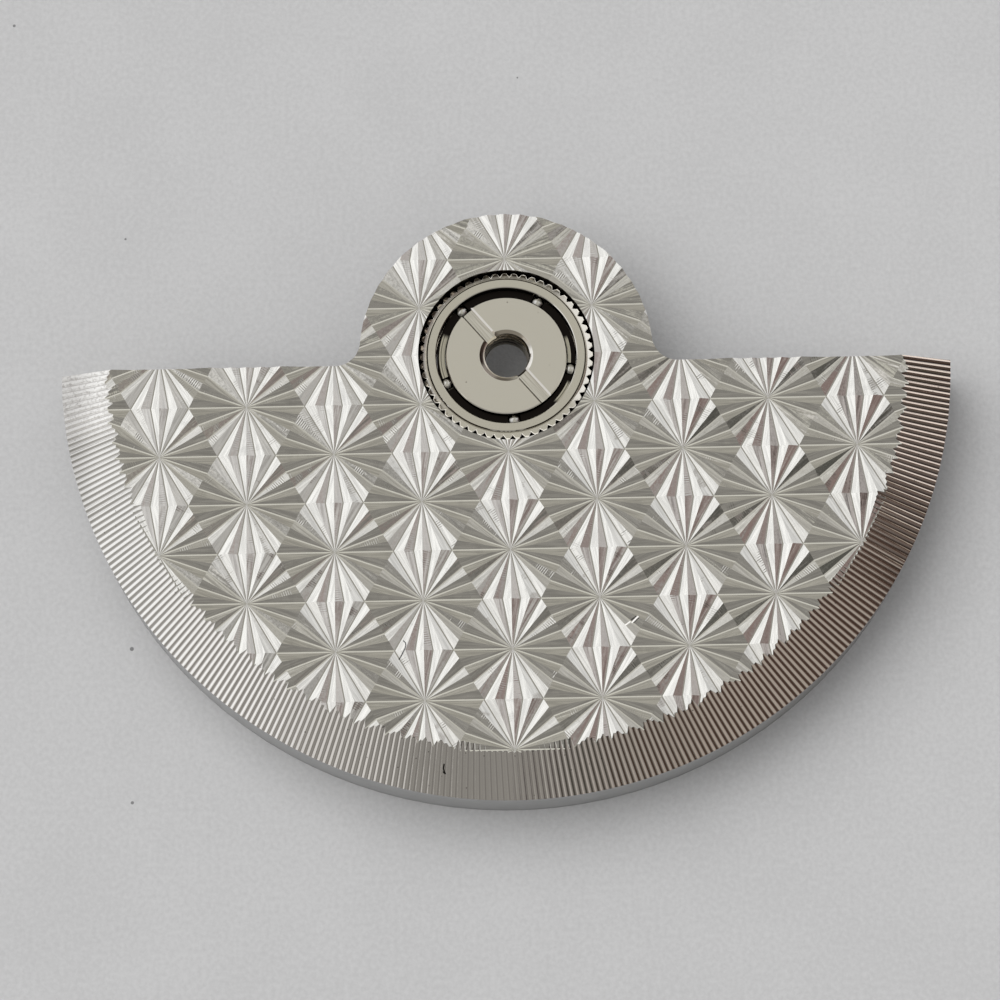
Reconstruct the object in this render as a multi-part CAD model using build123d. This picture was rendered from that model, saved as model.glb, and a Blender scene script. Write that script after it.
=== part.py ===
from build123d import *
import math
import os

# Automatic watch rotor: an engraved half-disc weight on a small ball bearing.
# Z is zero on the seat of the hub and points up through the engraved face.
# X runs along the straight edge of the weight, and the weight lies towards -Y.
# Lengths are in millimetres and angles in degrees.

# Oscillating weight: outline
outer_radius = 12.40
edge_setback = 0.25  # from the bearing's axis back to the straight edge
boss_width = 1.63  # of the ring of metal round the bearing
boss_corner_radius = 0.70  # where the boss meets the straight edge

# Oscillating weight: thickness
face_level = 1.05  # bottom of the engraved grooves above the hub's seat
web_thickness = 0.60
rim_wall_height = 1.90
rim_width = 2.80  # of the heavy rim under the web
rim_corner_bevel = 0.25  # between the web's underside and the rim
foot_bevel = 0.08

# Oscillating weight: conical rim and its flutes
cone_width = 1.21
cone_slope = 23.0
flutes_per_turn = 476
flute_depth = 0.035  # at the outer edge

# Oscillating weight: engraved stars
star_width = 2.777  # between opposite sides of a star's hexagon
grooves_per_star = 18
facet_slope = 20.5

# Bearing: balls and races
ball_count = 5
ball_radius = 0.25
ball_bands = 7  # of flat facets, between two small flats at the poles
ball_gores = 16  # facets round each band
ball_pitch_radius = 1.82
ball_depth = 0.40  # of the balls' centres below the top of the hub
first_ball_angle = -84.0
race_clearance = 0.015
race_flank_angle = 30.0  # between a flank of the V-shaped race and the bearing's axis
race_shoulder = 0.135  # from a ball's centre out or in to the edge of its race

# Bearing: outer ring
ring_wall = 0.124  # behind the race
ring_drop = 0.03  # of its top below the bottom of the grooves
ring_outer_bevel = 0.04
ring_inner_bevel = 0.02
knurl_count = 56
knurl_depth = 0.18
knurl_height = 0.285
knurl_root_step = 0.02
knurl_bite = 0.01  # of the knurl's tips into the boss
knurl_foot_share = 0.90  # of the tooth pitch
knurl_tip_share = 0.52  # of the tooth pitch
flange_thickness = 0.30
flange_overlap = 0.52  # of the flange under the boss
gear_module = 0.12
gear_root_share = 1.25  # of the module, from the pitch circle in to the tooth roots
gear_foot_share = 0.60  # of the tooth pitch
gear_tip_share = 0.26  # of the tooth pitch

# Bearing: hub
hub_drop = 0.08  # of its top below the bottom of the grooves
hub_bevel = 0.03
thread_minor_radius = 0.586
thread_mouth_bevel = 0.14
cone_ring_wall = 0.368  # behind the race of the lower inner ring
slot_width = 0.38
slot_depth = 0.15
slot_angle = 130.0
cone_ring_foot = 0.12  # of the lower inner race above the seat

# Bearing: cage
cage_gap = 0.025  # to the races on either side
pocket_clearance = 0.03
cage_floor = 0.09
cage_rise = 0.22  # of the fingers above the balls' centres

overrun = 1.0  # of cutting shapes past what they cut

# Levels that follow from the sizes above
web_underside = face_level - web_thickness
ring_top = face_level - ring_drop
hub_top = face_level - hub_drop
ball_level = hub_top - ball_depth
rim_edge_level = face_level - cone_width * math.tan(math.radians(cone_slope))
rim_foot = rim_edge_level - rim_wall_height

# Radii that follow from the sizes above
race_reach = (ball_radius + race_clearance) / math.cos(math.radians(race_flank_angle))
race_half_height = (race_reach - race_shoulder) / math.tan(math.radians(race_flank_angle))
ring_bore_radius = ball_pitch_radius + race_shoulder
hub_radius = ball_pitch_radius - race_shoulder
ring_neck_radius = ball_pitch_radius + race_reach + ring_wall
knurl_root_radius = ring_neck_radius + knurl_root_step
boss_hole_radius = knurl_root_radius + knurl_depth
boss_radius = boss_hole_radius + boss_width
shaft_radius = ball_pitch_radius - race_reach - cone_ring_wall
cone_start_radius = outer_radius - cone_width

# Engraving: half the angle between two grooves, and the sizes of one star's hexagon
half_groove_angle = 180 / grooves_per_star
grooves_per_side = grooves_per_star // 6
facet_rise = math.tan(math.radians(facet_slope))
star_apothem = star_width / 2
star_corner_radius = star_width / math.sqrt(3)
neighbour_steps = [(1, 1), (0, 2), (-1, 1), (-1, -1), (0, -2), (1, -1)]


def polar(radius, angle):
    """The point at a radius and an angle from the X axis."""
    turn = math.radians(angle)
    return radius * math.cos(turn), radius * math.sin(turn)


def flat_face(points):
    """A flat face through points in space."""
    return Face(Wire.make_polygon([Vector(*point) for point in points]))


def solid_of(faces):
    """The solid that a closed set of faces bounds."""
    return Solid(Shell(faces))


def stacked(rings):
    """The solid through level rings of as many points each, from the lowest to the highest."""
    faces = [flat_face(rings[0]), flat_face(rings[-1])]
    for lower, upper in zip(rings, rings[1:]):
        for corner in range(len(lower)):
            after = (corner + 1) % len(lower)
            faces.append(flat_face([lower[corner], lower[after], upper[after], upper[corner]]))
    return solid_of(faces)


def section(points):
    """A closed section from pairs of radius and level."""
    return make_face(Polyline(*points, close=True))


def ball_track():
    """The section of the V-shaped race on both sides of the balls."""
    return section([
        (ball_pitch_radius - race_reach, ball_level),
        (ball_pitch_radius - race_shoulder, ball_level - race_half_height),
        (ball_pitch_radius + race_shoulder, ball_level - race_half_height),
        (ball_pitch_radius + race_reach, ball_level),
        (ball_pitch_radius + race_shoulder, ball_level + race_half_height),
        (ball_pitch_radius - race_shoulder, ball_level + race_half_height),
    ])


def turned(profile):
    """The solid that a section sweeps round the bearing's axis."""
    return revolve(Plane.XZ * profile, Axis.Z)


def on_border(angle, normal_angle):
    """Where a ray from a star's centre meets the border with the given normal."""
    return polar(star_apothem / math.cos(math.radians(angle - normal_angle)), angle)


def ridge_end(angle, normal_angle):
    """The top of a ridge where it meets the star's border."""
    x, y = on_border(angle, normal_angle)
    height = math.hypot(x, y) * math.sin(math.radians(half_groove_angle)) * facet_rise
    return x, y, face_level + height


def border_points(side):
    """The zigzag of groove bottoms and ridge tops along one border of a star."""
    start = 60 * side
    normal_angle = start + 30
    points = []
    for groove in range(grooves_per_side):
        angle = start + 2 * groove * half_groove_angle
        points.append((*on_border(angle, normal_angle), face_level))
        points.append(ridge_end(angle + half_groove_angle, normal_angle))
    points.append((*on_border(start + 60, normal_angle), face_level))
    return points


def star_faces(base_level):
    """The facets of one star and the hexagon that closes it underneath."""
    centre = (0, 0, face_level)
    base = [(*polar(star_corner_radius, 60 * corner), base_level) for corner in range(6)]
    faces = [flat_face(base)]
    for side in range(6):
        points = border_points(side)
        for here, after in zip(points, points[1:]):
            faces.append(flat_face([centre, here, after]))
    return faces


def star_wall(side, base_level):
    """The upright wall under one border of a star."""
    top = border_points(side)
    base = [(*top[-1][:2], base_level), (*top[0][:2], base_level)]
    return flat_face(top + base)


def star_places():
    """Lattice places of the stars that cover the weight, as {(column, half rows): (x, y)}."""
    reach = math.ceil(outer_radius / star_apothem) + 1
    places = {}
    for column in range(-reach, reach + 1):
        for row in range(-reach, reach + 1):
            half_rows = 2 * row + column % 2
            x, y = column * star_width * math.sqrt(3) / 2, half_rows * star_apothem
            radius = math.hypot(x, y)
            on_half_disc = radius < outer_radius + star_corner_radius and y < star_corner_radius
            if on_half_disc or radius < boss_radius + star_corner_radius:
                places[(column, half_rows)] = (x, y)
    return places


def engraved_block():
    """A block whose top is the whole engraved pattern, larger than the weight all round."""
    base_level = rim_foot - overrun
    star = star_faces(base_level)
    walls = [star_wall(side, base_level) for side in range(6)]
    places = star_places()
    faces = []
    for (column, half_rows), (x, y) in places.items():
        here = Pos(x, y)
        faces += [face.moved(here) for face in star]
        for wall, (columns, rows) in zip(walls, neighbour_steps):
            if (column + columns, half_rows + rows) not in places:
                faces.append(wall.moved(here))
    return solid_of(faces)


def fluted_ring(level):
    """The zigzag outline of the fluted cone at one level. Every flute runs to the cone's tip."""
    slope = math.tan(math.radians(cone_slope))
    tip_drop = face_level + cone_start_radius * slope - level
    ridge_radius = tip_drop / slope
    groove_radius = tip_drop / (slope + flute_depth / outer_radius)
    flute_angle = 360 / flutes_per_turn
    flutes = math.ceil(flutes_per_turn / 2) + 4
    start = 270 - flutes * flute_angle / 2
    points = []
    for flute in range(flutes):
        angle = start + flute * flute_angle
        points.append((*polar(ridge_radius, angle), level))
        points.append((*polar(groove_radius, angle + flute_angle / 2), level))
    plain_sides = 12
    plain_start = start + flutes * flute_angle
    plain_angle = (360 - flutes * flute_angle) / plain_sides
    for side in range(plain_sides):
        points.append((*polar(ridge_radius, plain_start + side * plain_angle), level))
    return points


def fluted_cone():
    """The fluted cone that shapes the rim, cut off flat above the engraving."""
    ridge_top = ridge_end(half_groove_angle, 30)[2]
    lower = fluted_ring(rim_foot - overrun)
    upper = fluted_ring(face_level + 3 * (ridge_top - face_level))
    return stacked([lower, upper])


def weight_outline():
    """The half disc and the boss round the bearing, with rounded inner corners."""
    half = Pos(0, -edge_setback - outer_radius / 2) * Rectangle(2 * outer_radius, outer_radius)
    outline = (Circle(outer_radius) & half) + Circle(boss_radius)
    corner_x = math.sqrt(boss_radius**2 - edge_setback**2)
    corners = outline.vertices().sort_by(lambda corner: abs(abs(corner.X) - corner_x))[:2]
    return fillet(corners, boss_corner_radius)


def underside_hollow():
    """The space under the web, inside the heavy rim."""
    inner_radius = outer_radius - rim_width
    low = rim_foot - overrun
    return turned(section([
        (0, low),
        (inner_radius, low),
        (inner_radius, web_underside - rim_corner_bevel),
        (inner_radius - rim_corner_bevel, web_underside),
        (0, web_underside),
    ]))


def foot_edge():
    """The bevel round the outer edge of the rim's foot."""
    inner = outer_radius - foot_bevel - overrun
    outer = outer_radius + overrun
    low = rim_foot - overrun
    return turned(section([(inner, low), (outer, low), (outer, rim_foot + foot_bevel + overrun)]))


def oscillating_weight():
    """The engraved half-disc with its fluted conical rim, machined from one blank."""
    thickness = face_level - rim_foot + overrun
    blank = Pos(0, 0, rim_foot) * extrude(weight_outline(), thickness)
    hole = Pos(0, 0, rim_foot) * Cylinder(boss_hole_radius, 2 * thickness)
    blank = blank - underside_hollow() - hole - foot_edge()
    return blank & fluted_cone() & engraved_block()


def toothed_outline(count, root_radius, tip_radius, foot_share, tip_share):
    """An outline of straight-sided teeth, whose widths are shares of the tooth pitch."""
    foot, tip = (foot_share, root_radius), (tip_share, tip_radius)
    points = []
    for tooth in range(count):
        for share, radius in [(-foot_share, root_radius), (-tip_share, tip_radius), tip, foot]:
            points.append(polar(radius, (tooth + share / 2) * 360 / count))
    return section(points)


def gear_outline():
    """The teeth of the flange, as many as its radius holds."""
    teeth = round(2 * ((boss_hole_radius + flange_overlap) / gear_module - 1))
    pitch_radius = gear_module * teeth / 2
    root_radius = pitch_radius - gear_root_share * gear_module
    tip_radius = pitch_radius + gear_module
    return toothed_outline(teeth, root_radius, tip_radius, gear_foot_share, gear_tip_share)


def knurl_outline():
    """The knurl of the collar that is pressed into the boss."""
    tip_radius = boss_hole_radius + knurl_bite
    return toothed_outline(knurl_count, knurl_root_radius, tip_radius, knurl_foot_share, knurl_tip_share)


def bearing_outer_ring():
    """The outer race with its knurled collar and its toothed flange."""
    flange_foot = web_underside - flange_thickness
    neck = section([
        (0, flange_foot),
        (ring_neck_radius, flange_foot),
        (ring_neck_radius, ring_top - ring_outer_bevel),
        (ring_neck_radius - ring_outer_bevel, ring_top),
        (ring_bore_radius + ring_inner_bevel, ring_top),
        (ring_bore_radius, ring_top - ring_inner_bevel),
        (0, ring_top - ring_inner_bevel),
    ])
    collar = Pos(0, 0, web_underside) * extrude(knurl_outline(), knurl_height)
    flange = Pos(0, 0, flange_foot) * extrude(gear_outline(), flange_thickness)
    bore = section([
        (0, flange_foot - overrun),
        (ring_bore_radius, flange_foot - overrun),
        (ring_bore_radius, ring_top + overrun),
        (0, ring_top + overrun),
    ])
    return turned(neck) + collar + flange - turned(bore + ball_track())


def bearing_core():
    """The slotted and threaded hub, whose head is the upper inner race."""
    profile = section([
        (thread_minor_radius, 0),
        (shaft_radius, 0),
        (shaft_radius, ball_level),
        (hub_radius, ball_level),
        (hub_radius, hub_top - hub_bevel),
        (hub_radius - hub_bevel, hub_top),
        (thread_minor_radius + thread_mouth_bevel, hub_top),
        (thread_minor_radius, hub_top - thread_mouth_bevel),
    ])
    slot = Rot(0, 0, slot_angle) * Box(2 * hub_radius + overrun, slot_width, 2 * slot_depth)
    return turned(profile - ball_track()) - Pos(0, 0, hub_top) * slot


def bearing_cone():
    """The lower inner race, a ring pressed on the hub's shaft."""
    profile = section([
        (shaft_radius, cone_ring_foot),
        (hub_radius, cone_ring_foot),
        (hub_radius, ball_level),
        (shaft_radius, ball_level),
    ])
    return turned(profile - ball_track())


def ball_angle(ball):
    """The angle of one ball, counted from zero."""
    return first_ball_angle + ball * 360 / ball_count


def ball_cage():
    """The crown cage, whose pockets are open at the top."""
    inner, outer = hub_radius + cage_gap, ring_bore_radius - cage_gap
    pocket_radius = ball_radius + pocket_clearance
    low = ball_level - pocket_radius - cage_floor
    high = ball_level + cage_rise
    cage = turned(section([(inner, low), (outer, low), (outer, high), (inner, high)]))
    pocket = Rot(0, 90, 0) * Cylinder(pocket_radius, 2 * (outer - inner))
    pocket = Pos(ball_pitch_radius, 0, ball_level) * pocket
    for ball in range(ball_count):
        cage -= Rot(0, 0, ball_angle(ball)) * pocket
    return cage


def ball_at(ball):
    """One ball, round to within a hundredth of a millimetre, in its place in the race."""
    rings = []
    for band in range(ball_bands + 1):
        latitude = (band - ball_bands / 2) * 180 / (ball_bands + 1)
        radius, level = polar(ball_radius, latitude)
        rings.append([(*polar(radius, gore * 360 / ball_gores), level) for gore in range(ball_gores)])
    return Pos(*polar(ball_pitch_radius, ball_angle(ball)), ball_level) * stacked(rings)


def build():
    """Every piece by its name."""
    pieces = {
        "oscillating_weight": oscillating_weight(),
        "bearing_outer_ring": bearing_outer_ring(),
        "bearing_core": bearing_core(),
        "bearing_cone": bearing_cone(),
        "ball_cage": ball_cage(),
    }
    for ball in range(ball_count):
        pieces[f"ball_{ball + 1}"] = ball_at(ball)
    return pieces


os.makedirs("parts", exist_ok=True)
for name, piece in build().items():
    export_step(piece, f"parts/{name}.step")
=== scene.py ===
"""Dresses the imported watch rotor: finishes, fine bearing pieces, floor, light and camera.

Lengths in the classes are in millimetres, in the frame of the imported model: Z is zero on the
hub's seat and points up through the engraved face, and the weight lies towards -Y.
"""

import logging
import math
from collections.abc import Callable
from dataclasses import dataclass, field
from enum import Enum

import bmesh
import bpy
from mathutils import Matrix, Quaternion, Vector

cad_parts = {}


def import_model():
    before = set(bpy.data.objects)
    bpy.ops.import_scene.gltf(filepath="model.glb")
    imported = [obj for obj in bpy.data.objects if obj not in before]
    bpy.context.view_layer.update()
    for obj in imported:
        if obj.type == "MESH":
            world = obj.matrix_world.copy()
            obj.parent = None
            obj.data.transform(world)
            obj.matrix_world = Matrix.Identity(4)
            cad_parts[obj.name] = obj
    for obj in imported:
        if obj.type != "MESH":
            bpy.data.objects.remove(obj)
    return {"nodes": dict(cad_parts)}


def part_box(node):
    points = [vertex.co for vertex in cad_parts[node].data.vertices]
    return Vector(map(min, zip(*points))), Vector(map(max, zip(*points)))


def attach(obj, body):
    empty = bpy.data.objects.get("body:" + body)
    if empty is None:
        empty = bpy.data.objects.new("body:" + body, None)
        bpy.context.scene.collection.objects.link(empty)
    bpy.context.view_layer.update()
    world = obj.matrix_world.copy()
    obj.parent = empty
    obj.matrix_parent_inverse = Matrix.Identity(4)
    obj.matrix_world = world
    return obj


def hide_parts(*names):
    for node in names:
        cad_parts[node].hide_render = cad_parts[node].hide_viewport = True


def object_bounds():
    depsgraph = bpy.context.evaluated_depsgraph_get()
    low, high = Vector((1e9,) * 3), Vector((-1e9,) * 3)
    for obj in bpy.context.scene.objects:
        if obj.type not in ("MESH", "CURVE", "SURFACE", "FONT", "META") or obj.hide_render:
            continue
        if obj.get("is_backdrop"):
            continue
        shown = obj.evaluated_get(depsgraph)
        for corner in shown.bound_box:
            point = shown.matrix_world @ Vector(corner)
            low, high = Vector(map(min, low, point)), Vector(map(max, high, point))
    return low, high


MM = 0.001
LEVEL_NORMAL = 0.9999
CREASE = math.radians(28)
LOG = logging.getLogger("rotor")

Point = tuple[float, float]
Pair = tuple[float, float]
Colour = tuple[float, float, float]


# Shader maths


class Blend(Enum):
    """What a Mix node blends: its data type, and the numbers of its first input and its output."""

    NUMBER = ("FLOAT", 2, 0)
    VECTOR = ("VECTOR", 4, 1)
    COLOUR = ("RGBA", 6, 2)


class Sock:
    """An output in a node tree, which stands in expressions for its number, vector or colour."""

    def __init__(self, graph: "Graph", socket: bpy.types.NodeSocket) -> None:
        """Keep the socket and the graph it belongs to."""
        self.graph = graph
        self.socket = socket

    @property
    def is_vector(self) -> bool:
        """Whether the socket carries a vector or a colour."""
        return self.socket.type in {"VECTOR", "RGBA"}

    def _math(self, operation: str, *others: "Sock | float") -> "Sock":
        """Return what a Math node makes of this and the others."""
        inputs = dict(enumerate((self, *others)))
        return self.graph.node("ShaderNodeMath", inputs, operation=operation)

    def _vector_math(self, operation: str, first: object, second: object) -> "Sock":
        """Add a Vector Math node.

        Args:
            operation: The node's operation.
            first: The first vector, as a socket or three numbers.
            second: The second vector, the number of a scale, or None.

        Returns:
            The node's result.
        """
        second_input = 3 if operation == "SCALE" else 1
        output = "Value" if operation == "DOT_PRODUCT" else "Vector"
        inputs = {0: first} if second is None else {0: first, second_input: second}
        return self.graph.node("ShaderNodeVectorMath", inputs, output, operation=operation)

    def _combine(self, operation: str, other: object, swapped: bool = False) -> "Sock":
        """Add the Math or Vector Math node that an operator stands for.

        Args:
            operation: ADD, SUBTRACT, MULTIPLY or DIVIDE.
            other: The other operand.
            swapped: Whether the other operand stands on the left.

        Returns:
            The node's result.
        """
        other_is_vector = other.is_vector if isinstance(other, Sock) else isinstance(other, tuple)
        first, second = (other, self) if swapped else (self, other)
        if not (self.is_vector or other_is_vector):
            return self.graph.node("ShaderNodeMath", {0: first, 1: second}, operation=operation)
        if operation == "MULTIPLY" and not (self.is_vector and other_is_vector):
            vector, factor = (self, other) if self.is_vector else (other, self)
            return self._vector_math("SCALE", vector, factor)
        return self._vector_math(operation, first, second)

    def __add__(self, other: object) -> "Sock":
        """Return the sum."""
        return self._combine("ADD", other)

    def __radd__(self, other: object) -> "Sock":
        """Return the sum with a number on the left."""
        return self._combine("ADD", other, swapped=True)

    def __sub__(self, other: object) -> "Sock":
        """Return the difference."""
        return self._combine("SUBTRACT", other)

    def __rsub__(self, other: object) -> "Sock":
        """Return the difference with a number on the left."""
        return self._combine("SUBTRACT", other, swapped=True)

    def __mul__(self, other: object) -> "Sock":
        """Return the product."""
        return self._combine("MULTIPLY", other)

    def __rmul__(self, other: object) -> "Sock":
        """Return the product with a number on the left."""
        return self._combine("MULTIPLY", other, swapped=True)

    def __truediv__(self, other: "Sock | float") -> "Sock":
        """Return the quotient."""
        return self._combine("DIVIDE", other)

    def __rtruediv__(self, other: float) -> "Sock":
        """Return the quotient with a number on the left."""
        return self._combine("DIVIDE", other, swapped=True)

    def __neg__(self) -> "Sock":
        """Return the negative."""
        return self * -1.0

    def __abs__(self) -> "Sock":
        """Return the distance from zero."""
        return self._math("ABSOLUTE")

    def above(self, limit: "Sock | float") -> "Sock":
        """Return 1 where this is more than the limit, and 0 elsewhere."""
        return self._math("GREATER_THAN", limit)

    def below(self, limit: "Sock | float") -> "Sock":
        """Return 1 where this is less than the limit, and 0 elsewhere."""
        return self._math("LESS_THAN", limit)

    def least(self, other: "Sock | float") -> "Sock":
        """Return the lesser of the two."""
        return self._math("MINIMUM", other)

    def most(self, other: "Sock | float") -> "Sock":
        """Return the greater of the two."""
        return self._math("MAXIMUM", other)

    def nearest_whole(self) -> "Sock":
        """Return the nearest whole number."""
        return self._math("ROUND")

    def whole_part(self) -> "Sock":
        """Return the whole number below."""
        return self._math("FLOOR")

    def sine(self) -> "Sock":
        """Return the sine of an angle in radians."""
        return self._math("SINE")

    def cosine(self) -> "Sock":
        """Return the cosine of an angle in radians."""
        return self._math("COSINE")

    def root(self) -> "Sock":
        """Return the square root."""
        return self._math("SQRT")

    def angle_from(self, other: "Sock") -> "Sock":
        """Return the angle in radians whose tangent is this over the other."""
        return self._math("ARCTAN2", other)

    def rise(self, low: float, high: float) -> "Sock":
        """Return a smooth step, 0 up to the low number and 1 from the high one."""
        inputs = {"Value": self, "From Min": low, "From Max": high}
        return self.graph.node("ShaderNodeMapRange", inputs, "Result", interpolation_type="SMOOTHSTEP")

    def dot(self, other: tuple[float, float, float]) -> "Sock":
        """Return the scalar product of two vectors."""
        return self._vector_math("DOT_PRODUCT", self, other)

    def unit(self) -> "Sock":
        """Return the vector at length 1."""
        return self._vector_math("NORMALIZE", self, None)

    def parts(self) -> tuple["Sock", "Sock", "Sock"]:
        """Return the three components of a vector."""
        outputs = self.graph.raw("ShaderNodeSeparateXYZ", {0: self}).outputs
        return tuple(Sock(self.graph, output) for output in outputs)


class Graph:
    """A node tree that a finish or the light is written in."""

    def __init__(self, tree: bpy.types.NodeTree) -> None:
        """Empty the tree."""
        self.tree = tree
        tree.nodes.clear()

    def raw(self, kind: str, inputs: dict | None = None, **settings: object) -> bpy.types.Node:
        """Add a node.

        Args:
            kind: The node's type.
            inputs: Values or sockets by the name or number of the input.
            settings: The node's own properties, which are set first.

        Returns:
            The node.
        """
        node = self.tree.nodes.new(kind)
        for name, value in settings.items():
            setattr(node, name, value)
        for key, value in (inputs or {}).items():
            if isinstance(value, Sock):
                self.tree.links.new(value.socket, node.inputs[key])
            else:
                current = node.inputs[key].default_value
                size = len(current) if hasattr(current, "__len__") else 0
                short = size == 4 and len(value) == 3
                node.inputs[key].default_value = (*value, 1.0) if short else value
        return node

    def node(
        self, kind: str, inputs: dict | None = None, output: str | int = 0, **settings: object
    ) -> Sock:
        """Add a node as raw does, and return one of its outputs by name or number."""
        return Sock(self, self.raw(kind, inputs, **settings).outputs[output])

    def mix(self, share: Sock | float, low: object, high: object, kind: Blend = Blend.COLOUR) -> Sock:
        """Blend two colours, vectors or numbers.

        Args:
            share: How much of the second one shows.
            low: What shows at 0.
            high: What shows at 1.
            kind: Which of the three they are.

        Returns:
            The blend.
        """
        data_type, first, output = kind.value
        inputs = {0: share, first: low, first + 1: high}
        return self.node("ShaderNodeMix", inputs, output, data_type=data_type)

    def vector(self, x: object, y: object, z: object) -> Sock:
        """Return a vector from three components."""
        return self.node("ShaderNodeCombineXYZ", {0: x, 1: y, 2: z})

    def noise(self, place: Sock, scale: float, detail: float = 2.0, output: str = "Fac") -> Sock:
        """Return noise round 0.5, with so many cells in a unit of place, as a number or a Color."""
        inputs = {"Vector": place, "Scale": scale, "Detail": detail}
        return self.node("ShaderNodeTexNoise", inputs, output)

    def chance(self, place: Sock) -> Sock:
        """Return three random numbers for each value of a vector, as a colour."""
        return self.node("ShaderNodeTexWhiteNoise", {"Vector": place}, "Color")


class MaterialGraph(Graph):
    """The node tree of a material, worked out in the object's own frame."""

    def __init__(self, name: str) -> None:
        """Make the material.

        Args:
            name: The material's name.
        """
        self.material = bpy.data.materials.new(name)
        self.material.use_nodes = True
        super().__init__(self.material.node_tree)

    def place(self) -> Sock:
        """Return the point on the object in millimetres."""
        return self.node("ShaderNodeTexCoord", output="Object") * (1 / MM)

    def normal(self) -> Sock:
        """Return the surface's own normal."""
        return self.node("ShaderNodeTexCoord", output="Normal")

    def faces_up(self) -> Sock:
        """Return 1 on faces that look up, and 0 elsewhere."""
        return self.normal().parts()[2].above(0.5)

    def upright(self) -> Sock:
        """Return 1 on walls, and 0 elsewhere."""
        return abs(self.normal().parts()[2]).below(0.5)

    def grain(self, place: Sock, scale: float, size: float) -> Sock:
        """Return a small random vector that roughens a normal by up to its size."""
        return (self.noise(place, scale, 3.0, "Color") - (0.5, 0.5, 0.5)) * size

    def specks(self, place: Sock, scale: float, reach: float, share: float) -> Sock:
        """Return sparse round specks.

        Args:
            place: The coordinates.
            scale: Cells in a unit of the coordinates.
            reach: The radius of a speck as a share of its cell.
            share: The share of cells that have one.

        Returns:
            1 on a speck and 0 elsewhere.
        """
        cells = self.raw("ShaderNodeTexVoronoi", {"Vector": place, "Scale": scale})
        near = Sock(self, cells.outputs["Distance"]).below(reach)
        first, _, _ = Sock(self, cells.outputs["Color"]).parts()
        return near * first.below(share)

    def finish(self, local_normal: Sock | None = None, **inputs: object) -> bpy.types.Material:
        """Close the tree with a Principled shader.

        Args:
            local_normal: The normal in the object's frame, where the finish shapes it.
            inputs: The shader's other inputs, with _ for each space in a name.

        Returns:
            The material.
        """
        named = {key.replace("_", " "): value for key, value in inputs.items()}
        if local_normal is not None:
            turned = {"vector_type": "NORMAL", "convert_from": "OBJECT", "convert_to": "WORLD"}
            named["Normal"] = self.node("ShaderNodeVectorTransform", {0: local_normal.unit()}, **turned)
        shader = self.node("ShaderNodeBsdfPrincipled", named, output="BSDF")
        self.raw("ShaderNodeOutputMaterial", {"Surface": shader})
        return self.material

    def metal(self, look: "Look") -> bpy.types.Material:
        """Close the tree as a bare metal with this look."""
        return self.finish(look.normal, Base_Color=look.colour, Metallic=1.0, Roughness=look.roughness)


# Finishes


@dataclass(frozen=True)
class Look:
    """What one part of a surface gives to its finish. The mask says where, unless it is the ground."""

    colour: Sock | Colour
    roughness: Sock | float
    normal: Sock
    mask: Sock | float = 1.0


def layered(g: MaterialGraph, ground: Look, *looks: Look) -> Look:
    """Lay looks over one another.

    Args:
        g: The tree.
        ground: What shows where no other look does.
        looks: The looks above it, the lowest one first.

    Returns:
        The blend.
    """
    colour, roughness, normal = ground.colour, ground.roughness, ground.normal
    for look in looks:
        colour = g.mix(look.mask, colour, look.colour)
        roughness = g.mix(look.mask, roughness, look.roughness, Blend.NUMBER)
        normal = g.mix(look.mask, normal, look.normal, Blend.VECTOR)
    return Look(colour, roughness, normal)


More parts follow.
